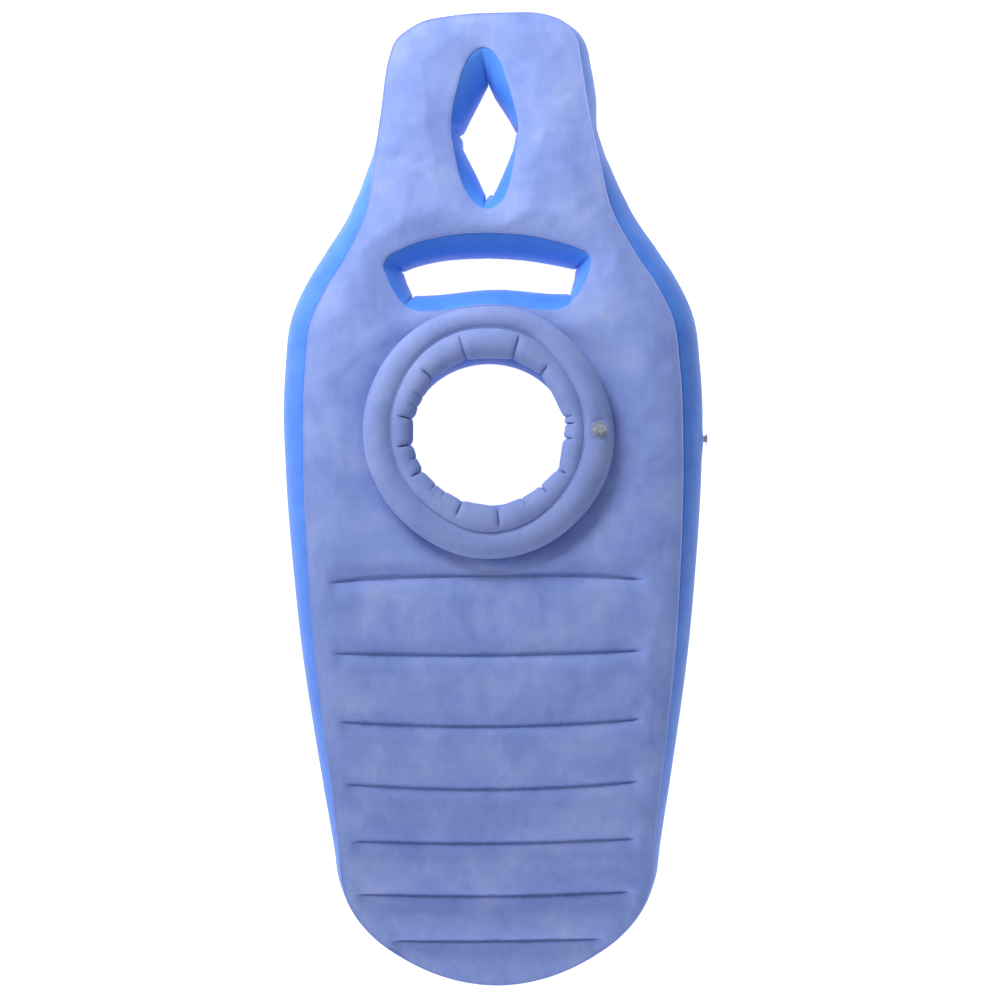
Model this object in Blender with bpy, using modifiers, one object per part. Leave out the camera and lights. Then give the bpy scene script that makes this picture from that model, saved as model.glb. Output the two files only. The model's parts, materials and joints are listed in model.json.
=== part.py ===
"""Inflatable prone mattress: an air bed for lying face down, with a face hole, a chest slot and a
belly hole that a padded air ring surrounds.

+X is to the right seen from above with the head end up, +Y runs to the head end, +Z is up.
The origin is under the middle, on the floor. All sizes are in metres.
The bed is a flat chamber of welded sheet: a top sheet, a bottom sheet, a side wall round the
outside and a wall round each hole, held flat in its lower half by seven inner strips.
"""
import math

import bmesh
import bpy
import numpy as np
from mathutils import Matrix, Vector
from mathutils.geometry import delaunay_2d_cdt

OBJECT = "inflatable_prone_mattress"

# Driving dimensions
SKIN = 0.0005            # thickness of every sheet
GAP = 0.0005             # clearance kept where two welded sheets meet
LIP = 0.0025             # how far a weld lip stands past the wall under it
CROWN = 0.203            # underside of the top sheet at its highest
SEAT = 0.192             # underside of the top sheet at hole edges and under the ring
SAG_AT_RIM = 0.014       # how far the rim drops where the side wall bulges most
CREASE = 0.181           # underside of the top sheet along a strip's weld
FLOOR_CREASE = 0.006     # underside of the bottom sheet along a strip's weld
FLOOR_HOLE = 0.008       # underside of the bottom sheet at hole edges
MIDDLE = 0.100           # height of the side wall's middle

# Right half of the weld between the top sheet and the side wall: (half width, distance to head)
RIM_HALF = [
    (0.000, 0.900), (0.075, 0.896), (0.132, 0.882), (0.1665, 0.849), (0.178, 0.812),
    (0.192, 0.720), (0.209, 0.627), (0.227, 0.535), (0.269, 0.451), (0.307, 0.392),
    (0.335, 0.333), (0.347, 0.244), (0.3515, 0.060), (0.344, -0.142), (0.334, -0.285),
    (0.317, -0.438), (0.305, -0.533), (0.292, -0.651), (0.286, -0.714), (0.269, -0.760),
    (0.232, -0.807), (0.168, -0.853), (0.085, -0.888), (0.000, -0.900),
]
# How far the side wall bulges past its weld: (distance to head, bulge)
SIDE_BULGE = [
    (-0.90, 0.010), (-0.73, 0.013), (-0.54, 0.024), (-0.16, 0.036), (0.15, 0.046),
    (0.45, 0.048), (0.55, 0.038), (0.64, 0.016), (0.70, 0.009), (0.90, 0.010),
]
MOST_BULGE = max(bulge for _, bulge in SIDE_BULGE)

HOLES_X = -0.008         # the three holes sit this far off the middle line
AT_FOLD = 0.25           # share of its bulge that a hole's wall keeps at a fold

# Face hole: right half of its almond edge, from the head end down
FACE_HALF = [
    (0.000, 0.8355), (0.022, 0.826), (0.036, 0.799), (0.049, 0.753), (0.0605, 0.710),
    (0.0633, 0.692), (0.060, 0.664), (0.052, 0.627), (0.0437, 0.585), (0.030, 0.557),
    (0.014, 0.541), (0.000, 0.5365),
]
FACE_FOLD = (0.0633, 0.680)
FACE_FOLD_REACH = 0.080          # the fold holds the wall back out to this distance
FACE_BULGE = 0.036
FACE_SPINE = (0.604, 0.752)      # ends of the line that the face wall bulges towards

# Chest slot: right half of its edge, from the middle of the upper side to that of the lower side
SLOT_HALF = [
    (0.000, 0.493), (0.060, 0.490), (0.105, 0.481), (0.147, 0.470), (0.175, 0.458),
    (0.191, 0.444), (0.189, 0.425), (0.181, 0.400), (0.168, 0.378), (0.152, 0.360),
    (0.132, 0.351), (0.105, 0.3485), (0.078, 0.350), (0.035, 0.3575), (0.000, 0.360),
]
SLOT_CORNERS = [(0.191, 0.444), (0.140, 0.354)]
SLOT_FOLD_REACH = 0.040
SLOT_BULGE = 0.038
SLOT_SPINE_HALF = 0.130
SLOT_SPINE_Y = 0.421

# Belly hole and the air ring on top of it
BELLY_CENTRE = (HOLES_X, 0.122)
BELLY_RADIUS = 0.165
BELLY_BULGE = 0.029
RING_FOOT_OUT = 0.2265   # radius where the outer band is welded to the top sheet
RING_FOOT_IN = 0.168     # radius where the inner band is welded to the top sheet
RING_SEAM = 0.184        # radius of the weld between the two bands
RING_SEAM_Z = 0.235
SEAM_SHIFT = 0.005       # the seam's centre is this far towards the head from the hole's
GAP_SHIFT = 0.0145       # and the middle of the inner band this much further again
OUTER_BOW = 0.023
INNER_BOW = 0.035
RING_SEAT = 0.2290       # the top sheet is level inside this radius

# Inner strips: (distance to head, left end, right end)
STRIPS = [
    (-0.146, -0.298, 0.268), (-0.290, -0.292, 0.264), (-0.422, -0.285, 0.263), (-0.537, -0.273, 0.259),
    (-0.638, -0.263, 0.251), (-0.735, -0.252, 0.241), (-0.820, -0.189, 0.187),
]
STRIP_FLANGE = 0.014
CREASE_REACH = 0.036     # a crease pulls the sheet down this far to each side
CREASE_FADE = 0.030      # and this far past the strip's end
EDGE_BAND = 0.016        # no crease reaches this close to the rim

# Ramps from an edge up to the level of the sheet around it
RIM_RAMP = 0.070
HOLE_RAMP = 0.045
FLOOR_RAMP = 0.060

# Valves, from the skin outwards along the valve's axis
VALVE_FLANGE_RADIUS = 0.0150
VALVE_FLANGE_LOW = 0.0008
VALVE_FLANGE_HIGH = 0.0020
VALVE_SOCKET_RADIUS = 0.0082
VALVE_SOCKET_BORE = 0.0066
VALVE_SOCKET_LOW = -0.0080
VALVE_HOLE_RADIUS = 0.0090
STEM_RADIUS = 0.0062
STEM_BORE = 0.0040
STEM_LIP_RADIUS = 0.0080
STEM_LOW = -0.0160
STEM_LIP_LOW = 0.0073
STEM_HIGH = 0.0083
PLUG_HEAD_RADIUS = 0.0090
PLUG_HEAD_LOW = 0.0086
PLUG_HEAD_HIGH = 0.0104
PLUG_SPIGOT_RADIUS = 0.0037
FLAP_RADIUS = 0.0058
FLAP_THICKNESS = 0.0008
STRAP_WIDTH = 0.0040
STRAP_THICKNESS = 0.0008
STRAP_REACH = 0.0045     # how far the strap loops out past the plug's head
MAIN_VALVE_Y = 0.110
RING_VALVE_RADIUS = 0.206
RING_VALVE_TURN = -90    # degrees

# Mesh steps
RIM_STEPS = 72
FACE_STEPS = 28
SLOT_STEPS = 38
BELLY_STEPS = 36
WALL_ROWS = 5
RING_STEPS = 40
BAND_STEPS = 6
VALVE_STEPS = 16
SHEET_COLUMN = 0.085
SHEET_ROW = 0.055
CLEAR_OF_LOOPS = 0.022   # loose points keep this far from an edge's own points

MERGE = 0.00001


# ---------- small tools ----------

def blend(start, end, share):
    return start + (end - start) * share


def rise(distance, ramp):
    """0 at an edge, climbing steeply and levelling off at 1 past the ramp."""
    short = 1 - np.clip(distance / ramp, 0, 1)
    return 1 - short ** 2


def mirrored(half, centre=0.0):
    """A closed outline from its right half, which starts and ends on the line x = centre."""
    right = [(centre + x, y) for x, y in half]
    left = [(centre - x, y) for x, y in half[-2:0:-1]]
    return right + left


def smooth_loop(knots, count):
    """Evenly spaced points on a closed smooth curve through the knots."""
    knots = np.array(knots, float)
    chord = np.roll(knots, -1, axis=0) - knots
    length = np.linalg.norm(chord, axis=1, keepdims=True)
    slope = chord / length
    length_before = np.roll(length, 1, axis=0)
    slope_before = np.roll(slope, 1, axis=0)
    tangent = (slope * length_before + slope_before * length) / (length + length_before)
    t = np.linspace(0, 1, 24, endpoint=False)[:, None]
    pieces = []
    for i in range(len(knots)):
        j = (i + 1) % len(knots)
        pieces.append(
            (2 * t**3 - 3 * t**2 + 1) * knots[i]
            + (t**3 - 2 * t**2 + t) * tangent[i] * length[i]
            + (3 * t**2 - 2 * t**3) * knots[j]
            + (t**3 - t**2) * tangent[j] * length[i]
        )
    return even_steps(np.concatenate(pieces), count)


def even_steps(loop, count):
    """The closed loop again, with its points at equal steps."""
    closed = np.vstack([loop, loop[:1]])
    step = np.linalg.norm(np.diff(closed, axis=0), axis=1)
    travelled = np.concatenate([[0], np.cumsum(step)])
    at = np.linspace(0, travelled[-1], count, endpoint=False)
    return np.column_stack([np.interp(at, travelled, closed[:, k]) for k in (0, 1)])


def circle_loop(centre, radius, count):
    angle = math.pi / 2 - 2 * math.pi * np.arange(count) / count
    return np.column_stack([np.cos(angle), np.sin(angle)]) * radius + centre


def outward(loop):
    """Unit normals that point out of a clockwise loop."""
    along = np.roll(loop, -1, axis=0) - np.roll(loop, 1, axis=0)
    normal = np.column_stack([-along[:, 1], along[:, 0]])
    return normal / np.linalg.norm(normal, axis=1, keepdims=True)


def grown(loop, distance):
    return loop + outward(loop) * distance


def distance_to(points, line, closed=True):
    """How far each point lies from the line, and the vector to its nearest point."""
    starts = line if closed else line[:-1]
    ends = np.roll(line, -1, axis=0) if closed else line[1:]
    along = ends - starts
    to = points[:, None, :] - starts[None]
    share = np.clip((to * along).sum(2) / (along**2).sum(1), 0, 1)
    apart = share[:, :, None] * along - to
    squared = (apart**2).sum(2)
    nearest = squared.argmin(axis=1)
    row = np.arange(len(points))
    return np.sqrt(squared[row, nearest]), apart[row, nearest]


def inside(points, loop):
    """Whether each point lies inside the loop."""
    ends = np.roll(loop, -1, axis=0)
    x, y = points[:, :1], points[:, 1:]
    spans = (loop[:, 1] > y) != (ends[:, 1] > y)
    slope = (ends[:, 0] - loop[:, 0]) / np.where(ends[:, 1] == loop[:, 1], 1, ends[:, 1] - loop[:, 1])
    crosses = x < slope * (y - loop[:, 1]) + loop[:, 0]
    return (spans & crosses).sum(axis=1) % 2 == 1


# ---------- outlines ----------

RIM = smooth_loop(mirrored(RIM_HALF), RIM_STEPS)
FACE = smooth_loop(mirrored(FACE_HALF, HOLES_X), FACE_STEPS)
SLOT = smooth_loop(mirrored(SLOT_HALF, HOLES_X), SLOT_STEPS)
BELLY = circle_loop(BELLY_CENTRE, BELLY_RADIUS, BELLY_STEPS)
HOLES = [FACE, SLOT, BELLY]
LEVEL = circle_loop(BELLY_CENTRE, RING_SEAT, BELLY_STEPS)


def side_bulge(y):
    ys, bulges = zip(*SIDE_BULGE)
    return np.interp(y, ys, bulges)


def rim_height(y):
    """Underside of the top sheet at its rim: lower where the side wall bulges more."""
    return blend(CROWN - 0.003, SEAT - 0.003, side_bulge(y) / MOST_BULGE)


def rim_floor(y):
    """Underside of the bottom sheet at its rim."""
    return SAG_AT_RIM * side_bulge(y) / MOST_BULGE


def crease_weight(points):
    """1 along each strip's weld, 0 where the sheet swells freely."""
    weight = np.zeros(len(points))
    for y, left, right in STRIPS:
        across = np.clip(1 - np.abs(points[:, 1] - y) / CREASE_REACH, 0, 1)
        beyond = np.maximum(left - points[:, 0], points[:, 0] - right)
        past_end = np.clip(1 - beyond / CREASE_FADE, 0, 1)
        weight = np.maximum(weight, across**2 * past_end)
    from_rim = distance_to(points, RIM)[0]
    return weight * np.clip((from_rim - EDGE_BAND) / CREASE_FADE * 3, 0, 1)


def top_height(points):
    """Height of the top sheet's underside."""
    height = blend(rim_height(points[:, 1]), CROWN, rise(distance_to(points, RIM)[0], RIM_RAMP))
    for hole in HOLES:
        height = blend(SEAT, height, rise(distance_to(points, hole)[0], HOLE_RAMP))
    from_ring = np.linalg.norm(points - BELLY_CENTRE, axis=1) - RING_SEAT
    height = blend(SEAT, height, rise(from_ring, HOLE_RAMP))
    return blend(height, CREASE, crease_weight(points))


def floor_height(points):
    """Height of the bottom sheet's underside, level where it rests on the floor."""
    height = rim_floor(points[:, 1]) * (1 - rise(distance_to(points, RIM)[0], FLOOR_RAMP))
    for hole in HOLES:
        height = blend(FLOOR_HOLE, height, rise(distance_to(points, hole)[0], FLOOR_RAMP))
    return blend(height, FLOOR_CREASE, crease_weight(points))


# ---------- objects ----------

def clear_scene():
    for obj in list(bpy.data.objects):
        bpy.data.objects.remove(obj, do_unlink=True)


def collection(name):
    made = bpy.data.collections.new(name)
    bpy.context.scene.collection.children.link(made)
    return made


def finish_material(name, finish):
    material = bpy.data.materials.new(name)
    material.use_nodes = True
    shader = material.node_tree.nodes["Principled BSDF"]
    shader.inputs["Base Color"].default_value = (*finish["colour"], 1)
    shader.inputs["Roughness"].default_value = finish["roughness"]
    shader.inputs["Metallic"].default_value = 0.0
    shader.inputs["Alpha"].default_value = finish.get("alpha", 1.0)
    return material


FLOCK = {"colour": (0.36, 0.43, 0.83), "roughness": 0.95}
VINYL = {"colour": (0.10, 0.27, 0.80), "roughness": 0.35}
STRIP_VINYL = {"colour": (0.55, 0.62, 0.80), "roughness": 0.45}
CLEAR_VINYL = {"colour": (0.85, 0.88, 0.90), "roughness": 0.15, "alpha": 0.6}


def add_object(name, mesh, finish, place=None):
    obj = bpy.data.objects.new(name, mesh)
    obj.data.materials.append(finish_material(name, finish))
    if place is not None:
        obj.matrix_world = place
    PARTS.objects.link(obj)
    return obj


def thicken(obj, thickness, offset):
    solid = obj.modifiers.new("thickness", "SOLIDIFY")
    solid.thickness = thickness
    solid.offset = offset
    return obj


def cut(obj, cutter):
    boolean = obj.modifiers.new("hole", "BOOLEAN")
    boolean.operation = "DIFFERENCE"
    boolean.solver = "EXACT"
    boolean.object = cutter


def mapped_grid(name, columns, rows, place, weld_seam=False):
    """A grid of faces with each corner (u, v) moved to place(u, v)."""
    bm = bmesh.new()
    bmesh.ops.create_grid(bm, x_segments=columns, y_segments=rows, size=0.5)
    for vert in bm.verts:
        vert.co = place(vert.co.x + 0.5, vert.co.y + 0.5)
    if weld_seam:
        bmesh.ops.remove_doubles(bm, verts=bm.verts, dist=MERGE)
    mesh = bpy.data.meshes.new(name)
    bm.to_mesh(mesh)
    bm.free()
    mesh.shade_smooth()
    return mesh


def turned(name, profile, finish, place):
    """A solid of revolution; its profile runs down the outer side and back up the inner one."""
    count = len(profile)
    mesh = bpy.data.meshes.new(name)
    mesh.from_pydata([(r, 0, z) for r, z in profile], [(i, (i + 1) % count) for i in range(count)], [])
    obj = add_object(name, mesh, finish, place)
    turn = obj.modifiers.new("turn", "SCREW")
    turn.axis = "Z"
    turn.angle = 2 * math.pi
    turn.steps = VALVE_STEPS
    turn.render_steps = VALVE_STEPS
    turn.use_merge_vertices = True
    turn.merge_threshold = 0.0001


def bowed(start, end, bow, steps):
    """Points of a circular arc from start to end that stands bow to the left of the chord."""
    start, end = np.array(start), np.array(end)
    chord = end - start
    half = np.linalg.norm(chord) / 2
    left = np.array([-chord[1], chord[0]]) / (2 * half)
    radius = (half**2 + bow**2) / (2 * bow)
    centre = (start + end) / 2 + left * (bow - radius)
    first = math.atan2(*(start - centre)[::-1])
    sweep = -2 * math.atan2(half, radius - bow)
    angles = first + sweep * np.linspace(0, 1, steps + 1)
    return [tuple(centre + radius * np.array([math.cos(a), math.sin(a)])) for a in angles]


# ---------- sheets and walls of the bed ----------

def sheet(name, height, finish):
    """A thin sheet over the bed's outline, open at the three holes and lifted by height."""
    loops = [RIM, grown(RIM, -EDGE_BAND), LEVEL] + HOLES
    rows = np.arange(-0.88, 0.89, SHEET_ROW)
    columns = np.arange(-4, 5) * SHEET_COLUMN
    rows = [y for y in rows if min(abs(y - line) for line, *_ in STRIPS) > CREASE_REACH * 0.7]
    for y, *_ in STRIPS:
        rows += [y - CREASE_REACH, y + CREASE_REACH]
    loose = np.array([(x, y) for y in rows for x in columns])
    loose = loose[inside(loose, RIM)]
    for loop in loops:
        loose = loose[distance_to(loose, loop)[0] > CLEAR_OF_LOOPS]
    for hole in HOLES:
        loose = loose[~inside(loose, hole)]
    points, edges = [], []
    for loop in loops:
        first = len(points)
        points += list(loop)
        edges += [(first + i, first + (i + 1) % len(loop)) for i in range(len(loop))]
    for y, left, right in STRIPS:
        first = len(points)
        stops = np.linspace(left, right, 7)
        points += [(x, y) for x in stops]
        edges += [(first + i, first + i + 1) for i in range(len(stops) - 1)]
    points += list(loose)
    corners, _, faces, *_ = delaunay_2d_cdt([Vector(p) for p in points], edges, [], 0, MERGE)
    corners = np.array([tuple(c) for c in corners])
    middles = np.array([corners[list(face)].mean(axis=0) for face in faces])
    keep = inside(middles, RIM) & ~np.any([inside(middles, hole) for hole in HOLES], axis=0)
    mesh = bpy.data.meshes.new(name)
    lifted = np.column_stack([corners, height(corners)])
    mesh.from_pydata(lifted.tolist(), [], [f for f, kept in zip(faces, keep) if kept])
    bm = bmesh.new()
    bm.from_mesh(mesh)
    bmesh.ops.delete(bm, geom=[v for v in bm.verts if not v.link_faces], context="VERTS")
    bm.to_mesh(mesh)
    bm.free()
    mesh.shade_smooth()
    return thicken(add_object(name, mesh, finish), SKIN, 1)


def wall(name, loop, push, low, high, finish):
    """A wall round a loop: push is the plan vector that its middle bulges by at each point."""
    count = len(loop)

    def place(u, v):
        i = round(u * count) % count
        bow = min(4 * v * (1 - v), 0.96) / 0.96
        x, y = loop[i] + push[i] * bow
        return Vector((x, y, blend(low[i], high[i], v)))

    mesh = mapped_grid(name, count, WALL_ROWS, place, weld_seam=True)
    return thicken(add_object(name, mesh, finish), SKIN, 0)


def side_wall():
    loop = grown(RIM, -LIP)
    push = outward(loop) * side_bulge(loop[:, 1])[:, None]
    low = rim_floor(loop[:, 1]) + SKIN + GAP
    high = rim_height(loop[:, 1]) - GAP
    made = wall("side_wall", loop, push, low, high, VINYL)
    cut(made, valve_cutter("main_valve_hole", main_valve_place()))


def hole_wall(name, hole, spine, bulge, folds=(), fold_reach=1.0):
    """The wall of a hole, which air pushes in towards the spine except at its folds."""
    loop = grown(hole, LIP)
    far, towards = distance_to(loop, np.array(spine), closed=False)
    amount = np.full(len(loop), bulge)
    for fold in folds:
        from_fold = np.linalg.norm(loop - fold, axis=1)
        amount *= np.clip(AT_FOLD + from_fold / fold_reach, 0, 1)
    share = np.minimum(amount / far, 0.9)
    low = np.full(len(loop), FLOOR_HOLE + SKIN + GAP)
    high = np.full(len(loop), SEAT - GAP)
    wall(name, loop, towards * share[:, None], low, high, VINYL)


def both_sides(points):
    return [(HOLES_X + side * x, y) for x, y in points for side in (1, -1)]


def hole_walls():
    spine = [(HOLES_X, y) for y in FACE_SPINE]
    hole_wall("face_hole_wall", FACE, spine, FACE_BULGE, both_sides([FACE_FOLD]), FACE_FOLD_REACH)
    spine = both_sides([(SLOT_SPINE_HALF, SLOT_SPINE_Y)])
    hole_wall("chest_slot_wall", SLOT, spine, SLOT_BULGE, both_sides(SLOT_CORNERS), SLOT_FOLD_REACH)
    spine = [BELLY_CENTRE, (BELLY_CENTRE[0], BELLY_CENTRE[1] + MERGE)]
    hole_wall("belly_hole_wall", BELLY, spine, BELLY_BULGE)


def tension_strips():
    """Each strip is a web from sheet to sheet, with a flange welded under each crease."""
    low = FLOOR_CREASE + SKIN + GAP + SKIN / 2
    high = CREASE - GAP - SKIN / 2
    section = [(-STRIP_FLANGE, low), (0, low), (0, high), (STRIP_FLANGE, high)]
    for number, (y, left, right) in enumerate(STRIPS, start=1):
        def place(u, v):
            along, z = section[round(v * 3)]
            return Vector((blend(left, right, u), y + along, z))

        mesh = mapped_grid(f"tension_strip_{number}", 4, 3, place)
        thicken(add_object(mesh.name, mesh, STRIP_VINYL), SKIN, 0)


# ---------- the air ring ----------

def ring_profiles():
    foot = SEAT + SKIN + GAP + SKIN / 2
    seam = (RING_SEAM, RING_SEAM_Z)
    outer = bowed(seam, (RING_FOOT_OUT, foot), OUTER_BOW, BAND_STEPS)
    inner_seam = (RING_SEAM - SKIN - GAP, RING_SEAM_Z)
    inner = bowed((RING_FOOT_IN, foot), inner_seam, INNER_BOW, BAND_STEPS)
    return outer, inner


def ring_shifts():
    """How far each row of the outer and of the inner band sits towards the head."""
    share = np.linspace(0, 1, BAND_STEPS + 1)
    return SEAM_SHIFT * (1 - share), SEAM_SHIFT * share + GAP_SHIFT * np.sin(math.pi * share)


def ring_band(name, profile, shifts):
    x, y = BELLY_CENTRE

    def place(u, v):
        row = round(v * BAND_STEPS)
        radius, height = profile[row]
        angle = 2 * math.pi * u
        return Vector((x + radius * math.cos(angle), y + shifts[row] + radius * math.sin(angle), height))

    mesh = mapped_grid(name, RING_STEPS, BAND_STEPS, place, weld_seam=True)
    return thicken(add_object(name, mesh, FLOCK), SKIN, 0)


def air_ring():
    outer, inner = ring_profiles()
    outer_shifts, inner_shifts = ring_shifts()
    made = ring_band("ring_outer_band", outer, outer_shifts)
    cut(made, valve_cutter("ring_valve_hole", ring_valve_place()))
    ring_band("ring_inner_band", inner, inner_shifts)


# ---------- valves ----------

def facing(point, direction):
    """A frame at the point with its Z along direction."""
    turn = Vector(direction).to_track_quat("Z", "Y").to_matrix().to_4x4()
    return Matrix.Translation(point) @ turn


def main_valve_place():
    """On the right side wall's middle, facing out."""
    lip = np.interp(-MAIN_VALVE_Y, -RIM[: RIM_STEPS // 2, 1], RIM[: RIM_STEPS // 2, 0]) - LIP
    skin = lip + side_bulge(MAIN_VALVE_Y) + SKIN / 2
    return facing((skin, MAIN_VALVE_Y, MIDDLE), (1, 0, 0))


def ring_valve_place():
    """On the face of the ring's outer band nearest the valve's radius, its strap towards the hole."""
    outer, _ = ring_profiles()
    shifts, _ = ring_shifts()
    off = [abs(outer[i][0] + outer[i + 1][0] - 2 * RING_VALVE_RADIUS) for i in range(BAND_STEPS)]
    row = off.index(min(off))
    start, end = outer[row], outer[row + 1]
    radius, height = (np.array(start) + end) / 2
    up = (start[1] - end[1], 0, end[0] - start[0])
    x, y = BELLY_CENTRE
    place = facing((x + radius, y + (shifts[row] + shifts[row + 1]) / 2, height), up)
    return place @ Matrix.Rotation(math.radians(RING_VALVE_TURN), 4, "Z")


def valve_cutter(name, place):
    bm = bmesh.new()
    bmesh.ops.create_cone(
        bm, cap_ends=True, segments=VALVE_STEPS,
        radius1=VALVE_HOLE_RADIUS, radius2=VALVE_HOLE_RADIUS, depth=0.012,
    )
    mesh = bpy.data.meshes.new(name)
    bm.to_mesh(mesh)
    bm.free()
    cutter = bpy.data.objects.new(name, mesh)
    cutter.matrix_world = place
    cutter.hide_render = True
    cutter.display_type = "WIRE"
    CUTTERS.objects.link(cutter)
    return cutter


def valve_base(prefix, place):
    flange, socket, bore = VALVE_FLANGE_RADIUS, VALVE_SOCKET_RADIUS, VALVE_SOCKET_BORE
    turned(f"{prefix}_base", [
        (flange, VALVE_FLANGE_HIGH), (flange, VALVE_FLANGE_LOW), (socket, VALVE_FLANGE_LOW),
        (socket, VALVE_SOCKET_LOW), (bore, VALVE_SOCKET_LOW), (bore, VALVE_FLANGE_HIGH),
    ], CLEAR_VINYL, place)


def valve_stem(prefix, place):
    turned(f"{prefix}_stem", [
        (STEM_LIP_RADIUS, STEM_HIGH), (STEM_LIP_RADIUS, STEM_LIP_LOW),
        (STEM_RADIUS, STEM_LIP_LOW), (STEM_RADIUS, STEM_LOW),
        (STEM_BORE, STEM_LOW), (STEM_BORE, STEM_HIGH),
    ], CLEAR_VINYL, place)


def valve_plug(prefix, place):
    head, spigot = PLUG_HEAD_RADIUS, PLUG_SPIGOT_RADIUS
    turned(f"{prefix}_plug", [
        (0, PLUG_HEAD_HIGH), (head - 0.0006, PLUG_HEAD_HIGH), (head, PLUG_HEAD_HIGH - 0.0006),
        (head, PLUG_HEAD_LOW), (spigot, PLUG_HEAD_LOW), (spigot, 0.001), (spigot - 0.0007, 0),
        (0, 0),
    ], CLEAR_VINYL, place)


def valve_flap(prefix, place):
    """The non-return flap, which hangs on the stem's inner end and swings into the chamber."""
    bm = bmesh.new()
    bmesh.ops.create_cone(
        bm, cap_ends=True, segments=VALVE_STEPS,
        radius1=FLAP_RADIUS, radius2=FLAP_RADIUS, depth=FLAP_THICKNESS,
    )
    bmesh.ops.translate(bm, verts=bm.verts, vec=(FLAP_RADIUS, 0, 0))
    mesh = bpy.data.meshes.new(f"{prefix}_flap")
    bm.to_mesh(mesh)
    bm.free()
    hinge = Matrix.Translation((-FLAP_RADIUS, 0, STEM_LOW - 0.0004 - FLAP_THICKNESS / 2))
    add_object(mesh.name, mesh, CLEAR_VINYL, place @ hinge)


def valve_strap(prefix, place):
    """The strap that keeps the plug on the stem: a loop from the stem's lip to the plug's head."""
    low = (-STEM_LIP_RADIUS - 0.0004, (STEM_LIP_LOW + STEM_HIGH) / 2)
    high = (-PLUG_HEAD_RADIUS - 0.0004, (PLUG_HEAD_LOW + PLUG_HEAD_HIGH) / 2)
    loop = bowed(low, high, STRAP_REACH, 8)

    def route(u, v):
        r, z = loop[round(u * 8)]
        return Vector((r, blend(-STRAP_WIDTH / 2, STRAP_WIDTH / 2, v), z))

    mesh = mapped_grid(f"{prefix}_strap", 8, 1, route)
    thicken(add_object(mesh.name, mesh, CLEAR_VINYL, place), STRAP_THICKNESS, 0)


def valve(prefix, place):
    valve_base(prefix, place)
    valve_stem(prefix, place)
    valve_plug(prefix, place)
    valve_flap(prefix, place)
    valve_strap(prefix, place)


clear_scene()
PARTS = collection(OBJECT)
CUTTERS = collection("cutters")
sheet("top_sheet", top_height, FLOCK)
sheet("bottom_sheet", floor_height, VINYL)
side_wall()
hole_walls()
tension_strips()
air_ring()
valve("main_valve", main_valve_place())
valve("ring_valve", ring_valve_place())
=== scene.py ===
# %% [markdown]
# # An inflatable mattress for lying face down
# The real thing is an air bed of welded PVC sheet. Its flocked top has an almond face hole, a wide
# chest slot and a round belly hole with a padded air ring round it. Smooth vinyl walls join the top
# to the bottom, and seven inner strips hold the lower half flat. This lesson dresses the measured
# frame: it keeps the strips and valve flaps, and replaces the sheets, walls, ring and valve bodies.

import json
import math

import bmesh
import bpy
import numpy as np
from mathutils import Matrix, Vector
from mathutils.geometry import delaunay_2d_cdt


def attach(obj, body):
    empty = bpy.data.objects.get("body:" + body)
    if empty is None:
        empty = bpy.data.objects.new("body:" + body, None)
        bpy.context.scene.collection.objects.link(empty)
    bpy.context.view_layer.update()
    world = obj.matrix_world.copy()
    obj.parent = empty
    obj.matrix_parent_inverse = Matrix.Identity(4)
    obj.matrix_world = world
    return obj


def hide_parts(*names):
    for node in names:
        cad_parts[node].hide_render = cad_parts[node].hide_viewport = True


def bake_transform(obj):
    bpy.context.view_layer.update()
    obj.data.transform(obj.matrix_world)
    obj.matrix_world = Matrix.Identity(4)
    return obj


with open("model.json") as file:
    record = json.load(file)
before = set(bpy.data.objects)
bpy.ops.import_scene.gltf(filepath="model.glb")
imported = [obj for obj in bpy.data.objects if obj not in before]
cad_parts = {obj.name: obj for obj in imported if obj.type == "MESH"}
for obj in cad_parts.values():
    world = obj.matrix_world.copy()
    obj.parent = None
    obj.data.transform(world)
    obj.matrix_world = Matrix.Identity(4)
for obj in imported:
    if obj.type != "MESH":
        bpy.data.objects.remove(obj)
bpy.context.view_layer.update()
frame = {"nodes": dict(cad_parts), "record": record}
MM = 0.001


def placed(name, data):
    """A new object in the scene that shows the data."""
    made = bpy.data.objects.new(name, data)
    bpy.context.scene.collection.objects.link(made)
    return made


# %% [markdown]
# ## Camera, floor and light
# The mattress is seen from straight above, by a long lens 4.5 m over its top, turned half a degree.
# The floor is a pale sheet that glows a little, as a lit studio sweep does, so its shadows stay soft
# and it shines through the holes. Three lamps stand at the head end's left, on the left, and low at
# the foot end, so each dent has a bright and a dark side.

# %% Camera
TOP_Z = 0.203
camera_data = bpy.data.cameras.new("camera")
camera_data.lens = 87.6
camera_data.sensor_width = 36.0
camera_data.clip_end = 60.0
camera = placed("camera", camera_data)
camera.location = (0.0115, -0.0019, TOP_Z + 4.5)
camera.rotation_euler = (0, 0, math.radians(-0.54))
bpy.context.scene.camera = camera
bpy.context.scene.view_settings.view_transform = "Standard"
print("camera looks down from", round(camera.location.z, 2), "m")


# %% Colours and nodes
def colour(code):
    """An sRGB hex colour as linear red, green, blue and alpha."""
    parts = [int(code[i:i + 2], 16) / 255 for i in (1, 3, 5)]
    return [c / 12.92 if c <= 0.04045 else ((c + 0.055) / 1.055) ** 2.4 for c in parts] + [1.0]


def feed(tree, node, inputs):
    """Fills a node's inputs; a value that is a socket is linked, any other is set."""
    for key, value in inputs.items():
        if isinstance(value, bpy.types.NodeSocket):
            tree.links.new(value, node.inputs[key])
        else:
            node.inputs[key].default_value = value


def add(tree, kind, inputs=None, **settings):
    """Adds a node with its inputs and settings."""
    made = tree.nodes.new(kind)
    for key, value in settings.items():
        setattr(made, key, value)
    feed(tree, made, inputs or {})
    return made


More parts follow.
